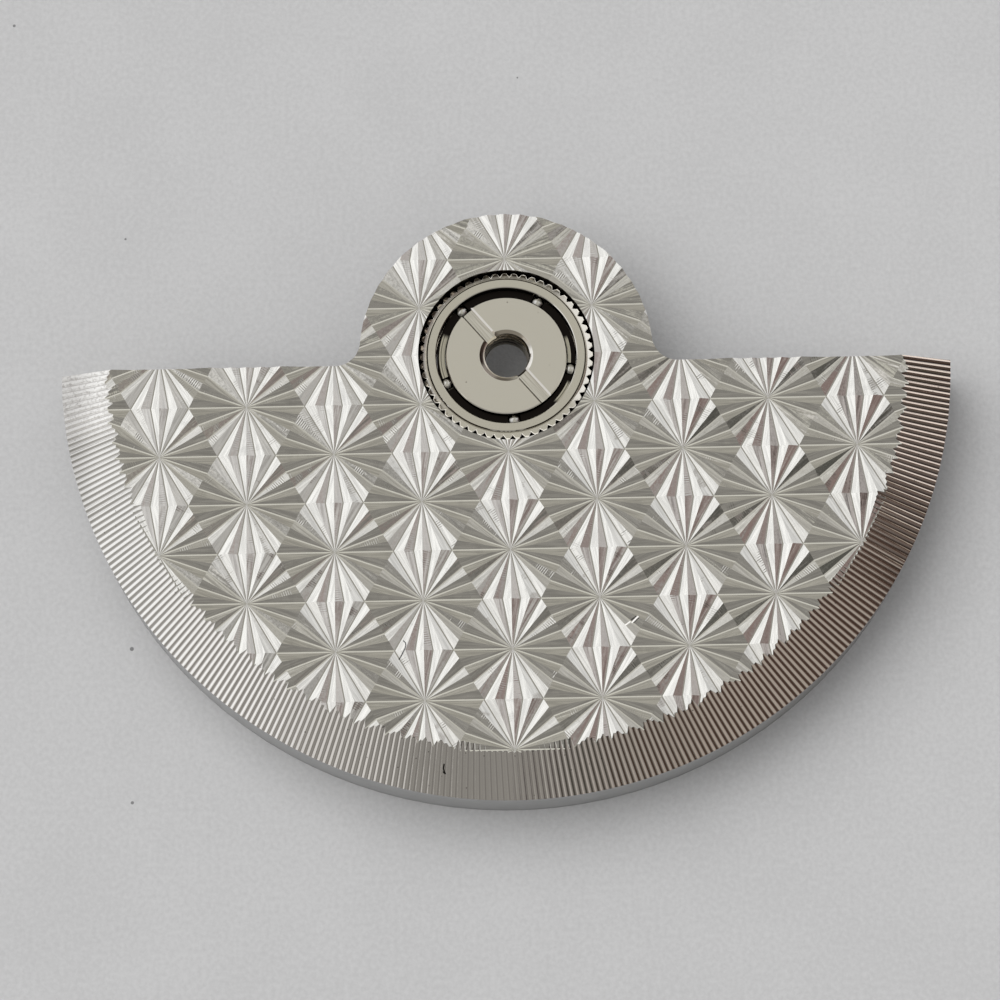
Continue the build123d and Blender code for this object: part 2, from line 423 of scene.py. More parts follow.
@dataclass(frozen=True)
class StarPattern:
    """The engraved stars: a lattice of hexagons with V grooves from each centre."""

    width: float = 2.777
    grooves: int = 18
    slope: float = math.radians(20.5)
    floor_half_width: float = 0.017
    floor_share: float = 0.075
    floor_edge: float = 0.003
    height_error: float = 0.01
    centre_radius: float = 0.10
    centre_share: float = 0.5
    streaks: float = 21.0
    streak_run: float = 1.2
    streak_shades: Pair = (0.82, 1.08)
    streak_tilt: float = 0.15
    facet_tilts: Pair = (0.014, 0.016)
    chatter_pitch: float = 0.062
    chatter_start: Pair = (0.35, 0.7)
    chatter_spread: Pair = (0.52, 0.66)
    chatter_free: float = 0.60
    chatter_tilt: float = 0.12
    chatter_dirt: float = 0.22
    painted_sheen_headings: Pair = (0.62, 0.86)
    roughness: Pair = (0.09, 0.14)
    colour: Colour = (0.85, 0.84, 0.805)
    chatter_colour: Colour = (0.40, 0.39, 0.38)
    centre_colour: Colour = (0.60, 0.59, 0.57)
    # Dull and bright groove floors; the bright one is a painted sheen.
    floor_colours: tuple[Colour, Colour] = ((0.50, 0.49, 0.47), (1.0, 0.99, 0.97))

    def look(self, g: MaterialGraph, place: Sock, face_level: float) -> Look:
        """Write the finish of the stars.

        Args:
            g: The tree.
            place: The point in millimetres.
            face_level: The level of the groove bottoms.

        Returns:
            The look of the stars.
        """
        x, y, z = place.parts()
        dx, dy, column, row = self._nearest(g, x, y)
        radius = (dx * dx + dy * dy).root()
        turn = dy.angle_from(dx) * (180 / math.pi)
        pitch = 360 / self.grooves
        groove = (turn / pitch).nearest_whole() * pitch
        off_groove = (turn - groove) * (math.pi / 180)
        distance, along = radius * off_groove.sine(), radius * off_groove.cosine()
        height = face_level + abs(distance) * math.tan(self.slope)
        mask = abs(z - height).below(self.height_error)

        heading = groove * (math.pi / 180)
        outward = g.vector(heading.cosine(), heading.sine(), 0.0)
        across = g.vector(-heading.sine(), heading.cosine(), 0.0)
        facet = (turn / (pitch / 2)).whole_part()
        first, second, third = g.chance(g.vector(column, row, facet)).parts()
        brushed = g.vector(distance * self.streaks, along * self.streak_run, first * 40)
        scratches = g.noise(brushed, scale=1.0, detail=3.0) - 0.5
        wave = (along * (2 * math.pi / self.chatter_pitch)).sine()
        torn = g.noise(g.vector(along * 3, distance * 2, second * 30), scale=1.0)
        chatter = wave * torn.rise(*self.chatter_spread) * along.rise(*self.chatter_start)
        chatter = chatter * second.above(self.chatter_free)

        half = (radius * self.floor_share).least(self.floor_half_width)
        floor = 1 - (abs(distance) - half).rise(-self.floor_edge, self.floor_edge)
        # Floors that run nearer left and right get the bright colour: a painted sheen, by heading only.
        painted_sheen = abs(heading.cosine()).rise(*self.painted_sheen_headings)
        floor_colour_with_painted_sheen = g.mix(painted_sheen, *self.floor_colours)
        dull, bright = (tuple(shade * part for part in self.colour) for shade in self.streak_shades)
        metal = g.mix(scratches.rise(-0.22, 0.22), dull, bright)
        metal = g.mix(abs(chatter) * self.chatter_dirt, metal, self.chatter_colour)
        centre = (1 - radius.rise(self.centre_radius / 2, self.centre_radius)) * self.centre_share

        lengthwise, sideways = self.facet_tilts
        tilt = outward * (chatter * self.chatter_tilt + (second - 0.5) * lengthwise)
        tilt = tilt + across * (scratches * self.streak_tilt + (third - 0.5) * sideways)
        cut = g.normal() + tilt + g.grain(place, scale=15.0, size=0.06)
        return Look(
            colour=g.mix(centre, g.mix(floor, metal, floor_colour_with_painted_sheen), self.centre_colour),
            roughness=g.mix(g.noise(place, scale=2.0), *self.roughness, Blend.NUMBER),
            normal=g.mix(floor, cut, (0.0, 0.0, 1.0), Blend.VECTOR),
            mask=mask,
        )

    def _nearest(self, g: Graph, x: Sock, y: Sock) -> tuple[Sock, Sock, Sock, Sock]:
        """Find the star that a point belongs to.

        Args:
            g: The tree.
            x: The point's first coordinate.
            y: The point's second coordinate.

        Returns:
            The point's place from the star's centre, and the star's column and half row.
        """
        wide, high = self.width * math.sqrt(3), self.width
        even_x = x - (x / wide).nearest_whole() * wide
        even_y = y - (y / high).nearest_whole() * high
        odd_x = x - ((x / wide - 0.5).nearest_whole() + 0.5) * wide
        odd_y = y - ((y / high - 0.5).nearest_whole() + 0.5) * high
        odd = (odd_x * odd_x + odd_y * odd_y).below(even_x * even_x + even_y * even_y)
        dx, dy = g.mix(odd, even_x, odd_x, Blend.NUMBER), g.mix(odd, even_y, odd_y, Blend.NUMBER)
        return dx, dy, ((x - dx) / (wide / 2)).nearest_whole(), ((y - dy) / (high / 2)).nearest_whole()


@dataclass(frozen=True)
class FluteLean:
    """How far the flutes lean to one side on their way out, fading towards the straight edge."""

    start_radius: float = 11.15
    per_mm: float = math.radians(0.35)
    fade: Pair = (0.6, 2.2)

    def angle(self, radius: Sock, y: Sock) -> Sock:
        """Return the angle in radians that a flute leans by, at a point in millimetres."""
        run = (radius - self.start_radius).most(0.0)
        return run * (-y).rise(*self.fade) * self.per_mm

    def bend(self, weight: bpy.types.Object) -> None:
        """Lean the flutes of the weight with a modifier.

        Args:
            weight: The weight.
        """
        tree = bpy.data.node_groups.new("flute_lean", "GeometryNodeTree")
        for way in ("INPUT", "OUTPUT"):
            tree.interface.new_socket("Geometry", in_out=way, socket_type="NodeSocketGeometry")
        g = Graph(tree)
        solid = g.node("NodeGroupInput")
        place = g.node("GeometryNodeInputPosition")
        x, y, _ = place.parts()
        x, y = x * (1 / MM), y * (1 / MM)
        angle = self.angle((x * x + y * y).root(), y)
        moved = g.node("ShaderNodeVectorRotate", {"Vector": place, "Angle": angle}, rotation_type="Z_AXIS")
        leaning = g.node("GeometryNodeSetPosition", {"Geometry": solid, "Position": moved})
        g.raw("NodeGroupOutput", {"Geometry": leaning})
        weight.modifiers.new("flute_lean", "NODES").node_group = tree


@dataclass(frozen=True)
class FlutedRim:
    """The cone round the stars, with rounded ridges, dull marks of wear, painted shade in its grooves and
    painted light and shade by side.
    """

    start_radius: float = 10.9
    slope: float = math.radians(23)
    per_turn: int = 476
    flute_lean: FluteLean = field(default_factory=FluteLean)
    least_tilt: float = 0.16
    right_tilt: float = 0.30
    left_tilt: float = 0.26
    left_end_tilt: float = 0.12
    left_lean: float = 0.30
    right_end_lean: float = 0.10
    wear_across: float = 1.5
    wear_along: float = 0.7
    chance_lean: float = 0.03
    wear_lean: float = 0.06
    chance_tilt: Pair = (0.86, 0.28)
    worn_tilt: float = 0.55
    right: Pair = (-1.0, 2.5)
    right_end: Pair = (9.5, 11.3)
    left: Pair = (2.0, 8.0)
    left_end: Pair = (8.5, 11.0)
    worn: Pair = (10.4, 11.0)
    worn_band: Pair = (-2.5, -0.9)
    groove: Pair = (0.34, 0.5)
    groove_painted_shade: float = 0.36
    right_end_groove_shade: float = 0.5
    left_end_groove_shade: float = 0.2
    right_painted_fade: Pair = (-1.0, 6.0)
    left_painted_fade: Pair = (8.0, 10.5)
    far_left_shade_fade: Pair = (11.2, 12.2)
    roughness: Pair = (0.12, 0.34)
    colour: Colour = (0.84, 0.815, 0.79)
    right_painted_tint: Colour = (0.99, 0.86, 0.77)
    left_painted_tint: Colour = (0.88, 0.87, 0.85)
    far_left_painted_shade: Colour = (0.62, 0.61, 0.595)
    dirt_and_shade_colour: Colour = (0.20, 0.18, 0.17)

    def look(self, g: MaterialGraph, place: Sock) -> Look:
        """Write the finish of the rim.

        Args:
            g: The tree.
            place: The point in millimetres.

        Returns:
            The look of the rim.
        """
        x, y, _ = place.parts()
        radius = (x * x + y * y).root()
        outward = g.vector(x, y, 0.0).unit()
        sideways = g.vector(-y, x, 0.0).unit()
        angle = y.angle_from(x) - self.flute_lean.angle(radius, y)
        flute = (angle * (180 / math.pi) + 90) * (self.per_turn / 360)
        ridge = flute.nearest_whole()
        phase = flute - ridge
        first, second, _ = g.chance(g.vector(ridge, 0.0, 0.0)).parts()

        right, right_end = x.rise(*self.right), x.rise(*self.right_end)
        left, left_end = (-x).rise(*self.left), (-x).rise(*self.left_end)
        worn = (-x).rise(*self.worn) * y.rise(*self.worn_band)
        stretched = g.vector(radius * self.wear_across, ridge * self.wear_along, 0.0)
        wear = g.noise(stretched, scale=1.0, detail=3.0)
        tilt = self.least_tilt + right * self.right_tilt
        tilt = tilt + left * self.left_tilt + left_end * self.left_end_tilt
        wave = (phase * (2 * math.pi)).sine() - (left - left_end) * self.left_lean
        least, spread = self.chance_tilt
        lean = wave * tilt * (least + first * spread) * (1 - worn * self.worn_tilt)
        lean = lean + right_end * self.right_end_lean
        lean = lean + (second - 0.5) * self.chance_lean + (wear - 0.5) * self.wear_lean
        ideal = outward * math.sin(self.slope) + sideways * lean + (0.0, 0.0, math.cos(self.slope))

        # The metal is tinted by side: a warmer painted reflection on the right, a lighter painted tone on
        # the left and painted shade at the far left end.
        metal = g.mix(x.rise(*self.right_painted_fade), self.colour, self.right_painted_tint)
        metal = g.mix((-x).rise(*self.left_painted_fade), metal, self.left_painted_tint)
        metal = g.mix((-x).rise(*self.far_left_shade_fade), metal, self.far_left_painted_shade)
        pits = g.specks(place, scale=6.0, reach=0.14, share=0.10)
        patchy_mask = g.noise(place, scale=12.0, detail=3.0).rise(0.50, 0.66) * worn
        # Painted shade darkens the flute grooves, more towards both ends; the pits and the patchy wear are
        # real marks.
        groove = (abs(phase) + right_end * 0.08).rise(*self.groove)
        ends = right_end * self.right_end_groove_shade + left_end * self.left_end_groove_shade
        grooves = groove * (self.groove_painted_shade + ends)
        dirt_and_groove_shade = grooves.most(pits * 0.6).most(patchy_mask * 0.35)
        scuffed = g.grain(place, scale=13.0, size=0.75) * worn
        return Look(
            colour=g.mix(dirt_and_groove_shade, metal, self.dirt_and_shade_colour),
            roughness=g.mix(worn, *self.roughness, Blend.NUMBER),
            normal=ideal + g.grain(place, scale=7.0, size=0.03) + scuffed,
            mask=radius.above(self.start_radius) * g.faces_up(),
        )


@dataclass(frozen=True)
class Mark:
    """A small scratch or speck of grime, as a thin line through points. A bright one has a painted
    highlight.
    """

    points: tuple[Point, ...]
    half_width: float
    colour: Colour
    bright: bool = False

    def mask(self, x: Sock, y: Sock) -> Sock:
        """Return where the mark is.

        Args:
            x: The point's first coordinate.
            y: The point's second coordinate.

        Returns:
            1 on the mark and 0 off it.
        """
        stretches = []
        for (start_x, start_y), (end_x, end_y) in zip(self.points, self.points[1:]):
            run_x, run_y = end_x - start_x, end_y - start_y
            length = math.hypot(run_x, run_y)
            off_x, off_y = x - start_x, y - start_y
            along = (off_x * (run_x / length) + off_y * (run_y / length)).most(0.0).least(length)
            off_x, off_y = off_x - along * (run_x / length), off_y - along * (run_y / length)
            stretches.append((off_x * off_x + off_y * off_y).below(self.half_width**2))
        whole = stretches[0]
        for stretch in stretches[1:]:
            whole = whole.most(stretch)
        return whole


@dataclass(frozen=True)
class EngravedNickel:
    """Bright nickel on the engraved weight: stars, fluted rim, turned wall with painted shade at its ends
    and foot, and a hole wall painted dark as shade.
    """

    stars: StarPattern = field(default_factory=StarPattern)
    rim: FlutedRim = field(default_factory=FlutedRim)
    satin: Colour = (0.60, 0.59, 0.57)
    satin_roughness: float = 0.28
    wall: Colour = (0.49, 0.49, 0.485)
    left_wall_painted_shade: Colour = (0.42, 0.42, 0.415)
    right_wall_painted_shade: Colour = (0.28, 0.255, 0.24)
    dark_wall: Colour = (0.2, 0.2, 0.2)
    left_painted_fade: Pair = (8.5, 11.8)
    right_painted_fade: Pair = (5.0, 11.5)
    wall_roughness: float = 0.38
    wall_radius: float = 12.2
    rings: float = 34.0
    ring_run: float = 3.0
    ring_tilt: float = 0.16
    foot: Pair = (-1.364, -0.914)
    foot_shade: float = 0.45
    stain_shade: float = 0.16
    hole_painted_shade: Colour = (0.05, 0.04, 0.03)
    hole_roughness: float = 0.4
    hole_radius: float = 2.6
    lit_normal: tuple[float, float, float] = (-0.34, 0.06, 0.94)
    marks: tuple[Mark, ...] = (
        Mark(
            ((-2.959, -8.058), (-2.908, -8.115), (-2.895, -8.198), (-2.921, -8.291)),
            half_width=0.014,
            colour=(0.1, 0.1, 0.1),
        ),
        Mark(((-2.921, -8.291), (-3.026, -8.477), (-3.084, -8.562)), 0.018, (0.12, 0.12, 0.12)),
        Mark(((3.260, -7.588), (3.371, -7.518)), 0.020, (0.22, 0.22, 0.21)),
        Mark(((3.309, -7.673), (3.446, -7.561)), 0.012, (0.16, 0.16, 0.15)),
        Mark(((3.087, -7.743), (3.212, -7.646)), 0.020, (0.93, 0.91, 0.87), bright=True),
        Mark(((3.269, -7.663), (3.428, -7.519)), 0.022, (0.93, 0.91, 0.87), bright=True),
        Mark(((-1.914, -11.436), (-1.931, -11.539), (-1.908, -11.640)), 0.020, (0.015, 0.015, 0.012)),
        Mark(((-1.930, -11.634), (-1.890, -11.665)), 0.024, (0.015, 0.015, 0.012)),
    )

    def material(self, face_level: float) -> bpy.types.Material:
        """Write the finish.

        Args:
            face_level: The level of the groove bottoms in millimetres.

        Returns:
            The material.
        """
        g = MaterialGraph("engraved_nickel")
        place = g.place()
        x, y, z = place.parts()
        radius = (x * x + y * y).root()
        upright = g.upright()
        matt = g.normal() + g.grain(place, scale=5.0, size=0.05)
        plain = Look(self.satin, self.satin_roughness, matt)
        run = radius * self.ring_run
        rings = g.noise(g.vector(run, run, z * self.rings), scale=1.0, detail=3.0) - 0.5
        turned = g.normal() + g.vector(0.0, 0.0, rings * self.ring_tilt)
        turned = turned + g.grain(place, scale=4.0, size=0.05)
        # The turned wall gets painted shade towards both ends and a painted contact shadow towards its
        # foot; the stains are real.
        colour = g.mix((-x).rise(*self.left_painted_fade), self.wall, self.left_wall_painted_shade)
        colour = g.mix(x.rise(*self.right_painted_fade), colour, self.right_wall_painted_shade)
        low = 1 - z.rise(*self.foot)
        colour = g.mix(low * self.foot_shade, colour, self.dark_wall)
        stains = g.noise(place, scale=1.4, detail=4.0).rise(0.3, 0.7)
        colour = g.mix(stains * self.stain_shade, colour, self.dark_wall)
        wall = Look(colour, self.wall_roughness, turned, upright * radius.above(self.wall_radius))
        # The wall of the hole is painted near black: painted shade in the recess.
        inside = upright * radius.below(self.hole_radius)
        hole = Look(self.hole_painted_shade, self.hole_roughness, g.normal(), inside)
        stars = self.stars.look(g, place, face_level)
        whole = layered(g, plain, self.rim.look(g, place), stars, wall, hole)
        facing = g.faces_up()
        for mark in self.marks:
            # A bright mark takes a fixed normal that always catches the key panel: a painted highlight.
            normal = g.vector(*self.lit_normal) if mark.bright else whole.normal
            line = Look(mark.colour, whole.roughness, normal, mark.mask(x, y) * facing)
            whole = layered(g, whole, line)
        return g.metal(whole)


@dataclass(frozen=True)
class PolishedNickel:
    """Fine polished metal of the bearing, with tiny dark specks."""

    colour: Colour = (0.79, 0.765, 0.72)
    speck_colour: Colour = (0.25, 0.23, 0.20)
    speck_share: float = 0.55
    roughness: Pair = (0.07, 0.12)

    def look(self, g: MaterialGraph, place: Sock) -> Look:
        """Write the finish.

        Args:
            g: The tree.
            place: The point in millimetres.

        Returns:
            The look of the metal.
        """
        specks = g.specks(place, scale=3.5, reach=0.08, share=0.4) * self.speck_share
        return Look(
            colour=g.mix(specks, self.colour, self.speck_colour),
            roughness=g.mix(g.noise(place, scale=3.0), *self.roughness, Blend.NUMBER),
            normal=g.normal() + g.grain(place, scale=6.0, size=0.008),
        )

    def material(self, name: str) -> bpy.types.Material:
        """Write the material under a name."""
        g = MaterialGraph(name)
        return g.metal(self.look(g, g.place()))


@dataclass(frozen=True)
class SlottedNickel:
    """The hub's metal, with lengthwise marks on the slot's floor and painted shade in the thread and on
    parts of the hole's mouth.
    """

    slot_angle: float
    slot_level: float
    hole_radius: float
    hole_level: float
    mouth_level: float
    thread_pitch: float
    metal: PolishedNickel = field(default_factory=PolishedNickel)
    mouth_width: float = 0.12
    mouth_side: Pair = (0.2, 0.8)
    shaded_mouth_side: Pair = (0.3, 0.75)
    mouth_shade_share: float = 0.85
    lines_across: float = 26.0
    lines_along: float = 0.7
    marks: Pair = (0.35, 0.62)
    valley: Pair = (0.30, 0.80)
    floor_roughness: float = 0.12
    hole_roughness: float = 0.16
    shaded_mouth_roughness: float = 0.2
    floor_colours: tuple[Colour, Colour] = ((0.64, 0.615, 0.57), (0.84, 0.82, 0.78))
    thread_painted_shades: tuple[Colour, Colour] = ((0.80, 0.74, 0.64), (0.03, 0.022, 0.015))
    mouth_painted_shade: Colour = (0.55, 0.50, 0.42)
    mouth_side_painted_shade: Colour = (0.20, 0.165, 0.135)

    def material(self) -> bpy.types.Material:
        """Write the material.

        Returns:
            The material.
        """
        g = MaterialGraph("hub_nickel")
        place = g.place()
        x, y, z = place.parts()
        ground = self.metal.look(g, place)
        across = y * math.cos(self.slot_angle) - x * math.sin(self.slot_angle)
        along = x * math.cos(self.slot_angle) + y * math.sin(self.slot_angle)
        radius = (x * x + y * y).root()
        outside = radius.above(self.hole_radius)
        inside = radius.below(self.hole_radius)
        stretched = g.vector(across * self.lines_across, along * self.lines_along, 0.0)
        lines = g.noise(stretched, scale=1.0, detail=3.0)
        marked = g.mix(lines.rise(*self.marks), *self.floor_colours)
        floor = Look(marked, self.floor_roughness, ground.normal, z.below(self.slot_level) * outside)
        # The thread's roots are painted near black and its crests light: painted shade in the grooves.
        turn = z / self.thread_pitch - y.angle_from(x) / (2 * math.pi)
        valley = (abs(turn - turn.nearest_whole()) * 2).rise(*self.valley)
        painted_root_shade = g.mix(valley, *self.thread_painted_shades)
        hole = Look(painted_root_shade, self.hole_roughness, ground.normal, z.below(self.hole_level) * inside)
        # The mouth's far side is painted a darker beige and its lower left side dark and warm: painted
        # shade by side.
        rim = z.below(self.mouth_level) * radius.below(self.hole_radius + self.mouth_width)
        far = rim * (y / radius).rise(*self.mouth_side)
        mouth = Look(self.mouth_painted_shade, self.hole_roughness, ground.normal, far)
        side_shade = ((x + y) / radius * -math.sqrt(0.5)).rise(*self.shaded_mouth_side) * self.mouth_shade_share
        shaded_mouth = Look(self.mouth_side_painted_shade, self.shaded_mouth_roughness, ground.normal, rim * side_shade)
        whole = layered(g, ground, mouth, shaded_mouth, floor, hole)
        return g.metal(whole)


@dataclass(frozen=True)
class KnurledNickel:
    """The outer ring's metal, with a dark coat of lubricant and painted shade in the knurl, painted
    glints, painted highlights on the tooth edges and painted shade deep in the notches.
    """

    neck_radius: float
    collar_top: float
    notch_level: float
    metal: PolishedNickel = field(default_factory=lambda: PolishedNickel(colour=(0.74, 0.715, 0.655)))
    clean_lit_angle: float = math.radians(-40)
    collar_slack: float = 0.01
    neck_slack: float = 0.004
    clean_lit_side: Pair = (-0.35, 0.15)
    waviness: float = 0.5
    outer_band: Pair = (0.07, 0.12)
    oil_and_shade_shares: Pair = (0.25, 0.70)
    glints: Pair = (0.57, 0.64)
    far_side: Pair = (-0.75, -0.35)
    burr: float = 0.37
    collar_roughness: float = 0.14
    edge_rise: Pair = (0.3, 0.95)
    edge_roughness: float = 0.2
    notch_roughness: float = 0.5
    edge_highlight_normal: tuple[float, float, float] = (-0.34, 0.06, 0.94)
    edge_colour: Colour = (0.84, 0.80, 0.71)
    film_shade_and_glint_colours: tuple[Colour, Colour] = ((0.045, 0.032, 0.02), (0.70, 0.63, 0.50))
    notch_painted_shade: Colour = (0.012, 0.010, 0.008)

    def material(self) -> bpy.types.Material:
        """Write the material.

        Returns:
            The material.
        """
        g = MaterialGraph("ring_nickel")
        place = g.place()
        x, y, z = place.parts()
        radius = (x * x + y * y).root()
        ground = self.metal.look(g, place)
        low = z.below(self.collar_top + self.collar_slack)
        recess = low * radius.above(self.neck_radius + self.neck_slack)
        # The dark coat is lubricant and painted shade: it clears on the lit side towards the lower right,
        # and its glints are painted highlights.
        side = (x * math.cos(self.clean_lit_angle) + y * math.sin(self.clean_lit_angle)) / radius
        outer = (radius - self.neck_radius).rise(*self.outer_band)
        wavy = side + (g.noise(place, scale=5.0) - 0.5) * self.waviness
        least, more = self.oil_and_shade_shares
        oil_and_painted_shade = (1 - wavy.rise(*self.clean_lit_side)) * (least + outer * more)
        glint = g.noise(place, scale=9.0, detail=3.0).rise(*self.glints)
        film_shade_and_glints = g.mix(glint, *self.film_shade_and_glint_colours)
        far = (y / radius).rise(*self.far_side)
        inward = g.vector(-x, -y, 0.0).unit()
        bent = g.normal() + inward * (far * self.burr) + g.grain(place, scale=8.0, size=0.30) * oil_and_painted_shade
        collar = Look(g.mix(oil_and_painted_shade, self.metal.colour, film_shade_and_glints), self.collar_roughness, bent, recess)
        _, _, up = g.normal().parts()
        # Tooth edges rubbed clean, whose fixed normal always catches the key panel: a painted highlight.
        edge = recess * up.above(self.edge_rise[0]) * up.below(self.edge_rise[1])
        worn = Look(self.edge_colour, self.edge_roughness, g.vector(*self.edge_highlight_normal), edge)
        # The deep notches between the teeth are painted near black: painted shade.
        deep = recess * z.below(self.notch_level)
        shaded_notch = Look(self.notch_painted_shade, self.notch_roughness, g.normal(), deep)
        whole = layered(g, ground, collar, worn, shaded_notch)
        return g.metal(whole)


class Side(Enum):
    """A side of a circle."""

    INNER = "inner"
    OUTER = "outer"


@dataclass(frozen=True)
class Patch:
    """A stretch of a ring, by the angle of its middle, its half width and its side of a radius."""

    middle: float
    half_width: float
    limit_radius: float
    side: Side
    softness: float = 3.0

    def mask(self, x: Sock, y: Sock) -> Sock:
        """Return where the stretch is.

        Args:
            x: The point's first coordinate.
            y: The point's second coordinate.

        Returns:
            1 on the stretch and 0 off it.
        """
        angle = math.radians(self.middle)
        radius = (x * x + y * y).root()
        near = (x * math.cos(angle) + y * math.sin(angle)) / radius
        low = math.cos(math.radians(self.half_width + self.softness))
        high = math.cos(math.radians(self.half_width - self.softness))
        if self.side is Side.INNER:
            return near.rise(low, high) * radius.below(self.limit_radius)
        return near.rise(low, high) * radius.above(self.limit_radius)


@dataclass(frozen=True)
class OiledBrassWithPaintedShade:
    """The cage's metal, near black with lubricant and painted shade, bare only on a few stretches placed
    where its top catches light.
    """

    oil_and_painted_shade: Colour = (0.012, 0.010, 0.009)
    bare: Colour = (0.66, 0.63, 0.54)
    # Each stretch sits where the top catches light: painted light.
    patches: tuple[Patch, ...] = (
        Patch(184, 24, 1.87, Side.INNER),
        Patch(3, 14, 1.80, Side.INNER),
        Patch(-34, 9, 1.83, Side.OUTER),
    )
    lines: float = 30.0
    line_shade: float = 0.35
    roughness: Pair = (0.30, 0.18)

    def material(self) -> bpy.types.Material:
        """Write the material.

        Returns:
            The material.
        """
        g = MaterialGraph("oiled_brass_painted_shade")
        place = g.place()
        x, y, _ = place.parts()
        patchy_mask = self.patches[0].mask(x, y)
        for patch in self.patches[1:]:
            patchy_mask = patchy_mask.most(patch.mask(x, y))
        radius = (x * x + y * y).root()
        lines = g.noise(g.vector(radius * self.lines, 0.0, 0.0), scale=1.0).rise(0.4, 0.6)
        bare = g.mix(lines, tuple(self.line_shade * part for part in self.bare), self.bare)
        look = Look(
            colour=g.mix(patchy_mask, self.oil_and_painted_shade, bare),
            roughness=g.mix(patchy_mask, *self.roughness, Blend.NUMBER),
            normal=g.normal() + g.grain(place, scale=6.0, size=0.05),
        )
        return g.metal(look)


@dataclass(frozen=True)
class OiledSteelWithPaintedShade:
    """The balls' steel, bare on the crown and near black below it with lubricant and painted shade."""

    clean_lit_level: float
    fade: float
    steel: Colour = (0.70, 0.69, 0.66)
    oil_and_painted_shade: Colour = (0.035, 0.030, 0.026)
    roughness: Pair = (0.16, 0.05)

    def material(self) -> bpy.types.Material:
        """Write the material.

        Returns:
            The material.
        """
        g = MaterialGraph("ball_steel")
        place = g.place()
        _, _, z = place.parts()
        ragged_edge = g.noise(place, scale=7.0) - 0.5
        # Only the crown keeps the steel's colour, so each ball shows a small lit cap: painted shade below
        # it.
        crown = (z + ragged_edge * self.fade).rise(self.clean_lit_level - self.fade, self.clean_lit_level + self.fade)
        look = Look(
            colour=g.mix(crown, self.oil_and_painted_shade, self.steel),
            roughness=g.mix(crown, *self.roughness, Blend.NUMBER),
            normal=g.normal() + g.grain(place, scale=6.0, size=0.02),
        )
        return g.metal(look)


@dataclass(frozen=True)
class Paper:
    """The pale sheet that the part lies on."""

    bright: Colour = (0.652, 0.650, 0.652)
    dull: Colour = (0.575, 0.573, 0.575)
    speck: Colour = (0.16, 0.16, 0.16)
    speck_share: float = 0.8
    fibre_scale: float = 8.0
    cloud_scale: float = 0.35
    bump_strength: float = 0.35
    bump_height: float = 0.03 * MM
    roughness: float = 0.9

    def material(self) -> bpy.types.Material:
        """Write the finish.

        Returns:
            The material.
        """
        g = MaterialGraph("paper")
        place = g.place()
        fibre = g.noise(place, self.fibre_scale, detail=4.0)
        cloud = g.noise(place, self.cloud_scale)
        shade = g.mix((fibre * 0.75 + cloud * 0.25).rise(0.25, 0.75), self.dull, self.bright)
        specks = g.specks(place, scale=0.55, reach=0.035, share=0.35) * self.speck_share
        height = {"Strength": self.bump_strength, "Distance": self.bump_height, "Height": fibre}
        bump = g.node("ShaderNodeBump", height)
        colour = g.mix(specks, shade, self.speck)
        return g.finish(Base_Color=colour, Roughness=self.roughness, Normal=bump)


# Mesh work


def finish_mesh(name: str, mesh: bmesh.types.BMesh, material: bpy.types.Material) -> bpy.types.Object:
    """Turn a mesh in millimetres into a shown object.

    Args:
        name: The object's name.
        mesh: The mesh, which is freed.
        material: The object's material.

    Returns:
        The object.
    """
    bmesh.ops.recalc_face_normals(mesh, faces=mesh.faces)
    bmesh.ops.scale(mesh, vec=(MM, MM, MM), verts=mesh.verts)
    data = bpy.data.meshes.new(name)
    store(mesh, data)
    data.materials.append(material)
    piece = bpy.data.objects.new(name, data)
    bpy.context.scene.collection.objects.link(piece)
    return piece


def store(mesh: bmesh.types.BMesh, data: bpy.types.Mesh) -> None:
    """Write a mesh out with smooth round faces, flat level ones and sharp creases.

    Args:
        mesh: The mesh, which is freed.
        data: What it is written to.
    """
    for face in mesh.faces:
        face.smooth = abs(face.normal.z) < LEVEL_NORMAL
    for edge in mesh.edges:
        turn = edge.calc_face_angle(math.pi) if len(edge.link_faces) == 2 else math.pi
        edge.smooth = turn < CREASE and all(face.smooth for face in edge.link_faces)
    mesh.to_mesh(data)
    mesh.free()


def spin(
    mesh: bmesh.types.BMesh,
    profile: list[Point],
    steps: int,
    ripple: Callable[[float, float, float], float] | None = None,
) -> None:
    """Add the solid that a closed section sweeps round the Z axis.

    Args:
        mesh: The mesh to add it to.
        profile: The section's corners as radius and level.
        steps: Steps in a turn.
        ripple: Gives what is added to the radius, from radius, level and angle.
    """
    rings = []
    for step in range(steps):
        angle = 2 * math.pi * step / steps
        ring = []
        for radius, level in profile:
            reach = radius + (ripple(radius, level, angle) if ripple else 0.0)
            ring.append(mesh.verts.new((reach * math.cos(angle), reach * math.sin(angle), level)))
        rings.append(ring)
    join_loops(mesh, [*rings, rings[0]])


def join_loops(mesh: bmesh.types.BMesh, loops: list[list[bmesh.types.BMVert]]) -> None:
    """Join each closed loop of corners to the next one with faces.

    Args:
        mesh: The mesh.
        loops: The loops, all with as many corners.
    """
    for here, after in zip(loops, loops[1:]):
        for corner in range(len(here)):
            following = (corner + 1) % len(here)
            mesh.faces.new((here[corner], after[corner], after[following], here[following]))


